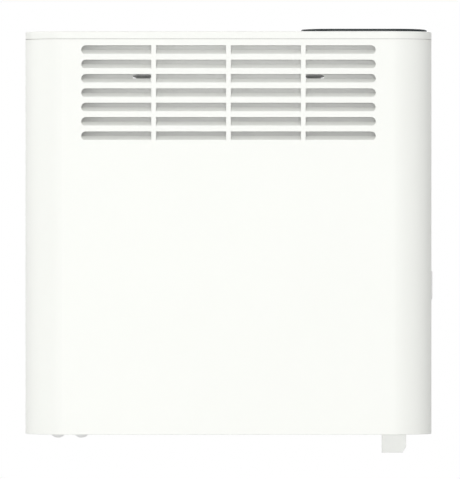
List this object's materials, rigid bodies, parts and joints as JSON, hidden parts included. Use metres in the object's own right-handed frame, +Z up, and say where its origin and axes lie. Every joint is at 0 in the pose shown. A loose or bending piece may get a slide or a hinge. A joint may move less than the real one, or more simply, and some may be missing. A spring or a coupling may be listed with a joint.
{
  "type": "wall convector heater",
  "caption": "White wall convector heater with a louvred sheet-metal front, round corners, a dark control panel on top and a mains rocker in its side, hung on a steel wall bracket.",
  "frame": {"origin": "centre of the four wall screws, on the wall's surface", "axes": "+Z up, +Y into the wall, so the front faces -Y, and +X to the right as seen from the room"},
  "size_m": [0.457, 0.12, 0.4761],
  "materials": {
    "white_enamel": "satin powder coat",
    "white_moulding": "fine satin moulding",
    "zinc_sheet": "galvanised sheet",
    "coated_sheet": "galvanised, coated white on the room side",
    "dark_steel": "dark grey powder coat",
    "slate_panel": "dark slate, polished",
    "clear_lens": "clear window",
    "display": "liquid crystal display",
    "key_plastic": "satin keys",
    "switch_plastic": "satin moulding",
    "circuit_board": "green solder resist",
    "fin_aluminium": "bright sheet",
    "tube_steel": "stainless sheath",
    "ceramic_white": "unglazed steatite",
    "dark_phenolic": "moulded phenolic",
    "nylon": "natural nylon",
    "grommet_rubber": "matt grey rubber",
    "wire_sleeve": "silicone sleeve",
    "ribbon_cable": "flat cable",
    "screw_steel": "zinc plated"
  },
  "bodies": {
    "heater": {"front_casing": "white_enamel", "top_cover": "white_moulding", "base_plate": "zinc_sheet", "rear_panel": "coated_sheet", "heat_shield": "coated_sheet", "air_deflector": "coated_sheet", "baffle_left": "coated_sheet", "baffle_right": "coated_sheet", "wall_rail_upper": "dark_steel", "wall_rail_lower": "dark_steel", "bracket_upright_left": "dark_steel", "bracket_upright_right": "dark_steel", "catch_left": "dark_steel", "catch_right": "dark_steel", "control_panel": "slate_panel", "display_lens": "clear_lens", "lcd_module": "display", "switch_body": "switch_plastic", "control_board": "circuit_board", "power_board": "circuit_board", "element_fins": "fin_aluminium", "element_tube": "tube_steel", "element_bush_left": "ceramic_white", "element_bush_right": "ceramic_white", "terminal_block": "ceramic_white", "thermal_cutout": "dark_phenolic", "room_sensor": "dark_phenolic", "board_spacers": "nylon", "latch_guide": "nylon", "cable_grommet_left": "grommet_rubber", "cable_grommet_right": "grommet_rubber", "supply_harness": "wire_sleeve", "element_lead_left": "wire_sleeve", "element_lead_right": "wire_sleeve", "panel_ribbon": "ribbon_cable", "rear_screws": "screw_steel", "board_screws": "screw_steel"},
    "rocker": {"switch_rocker": "switch_plastic"},
    "latch": {"release_latch": "white_moulding"},
    "menu_button": {"key_menu": "key_plastic"},
    "minus_button": {"key_minus": "key_plastic"},
    "plus_button": {"key_plus": "key_plastic"},
    "ok_button": {"key_ok": "key_plastic"}
  },
  "joints": [
    {"name": "rocker_tilt", "type": "hinge", "parent": "heater", "child": "rocker", "pos_m": [0.2225, -0.052, -0.0342], "axis": [0, 1, 0], "range_deg": [0, 14]},
    {"name": "latch_lift", "type": "slide", "parent": "heater", "child": "latch", "axis": [0, 0, 1], "range_m": [0, 0.007]},
    {"name": "menu_press", "type": "slide", "parent": "heater", "child": "menu_button", "axis": [0, 0, -1], "range_m": [0, 0.0008], "stiffness_N_per_m": 1500, "springref_m": -0.0002},
    {"name": "minus_press", "type": "slide", "parent": "heater", "child": "minus_button", "axis": [0, 0, -1], "range_m": [0, 0.0008], "stiffness_N_per_m": 1500, "springref_m": -0.0002},
    {"name": "plus_press", "type": "slide", "parent": "heater", "child": "plus_button", "axis": [0, 0, -1], "range_m": [0, 0.0008], "stiffness_N_per_m": 1500, "springref_m": -0.0002},
    {"name": "ok_press", "type": "slide", "parent": "heater", "child": "ok_button", "axis": [0, 0, -1], "range_m": [0, 0.0008], "stiffness_N_per_m": 1500, "springref_m": -0.0002}
  ]
}
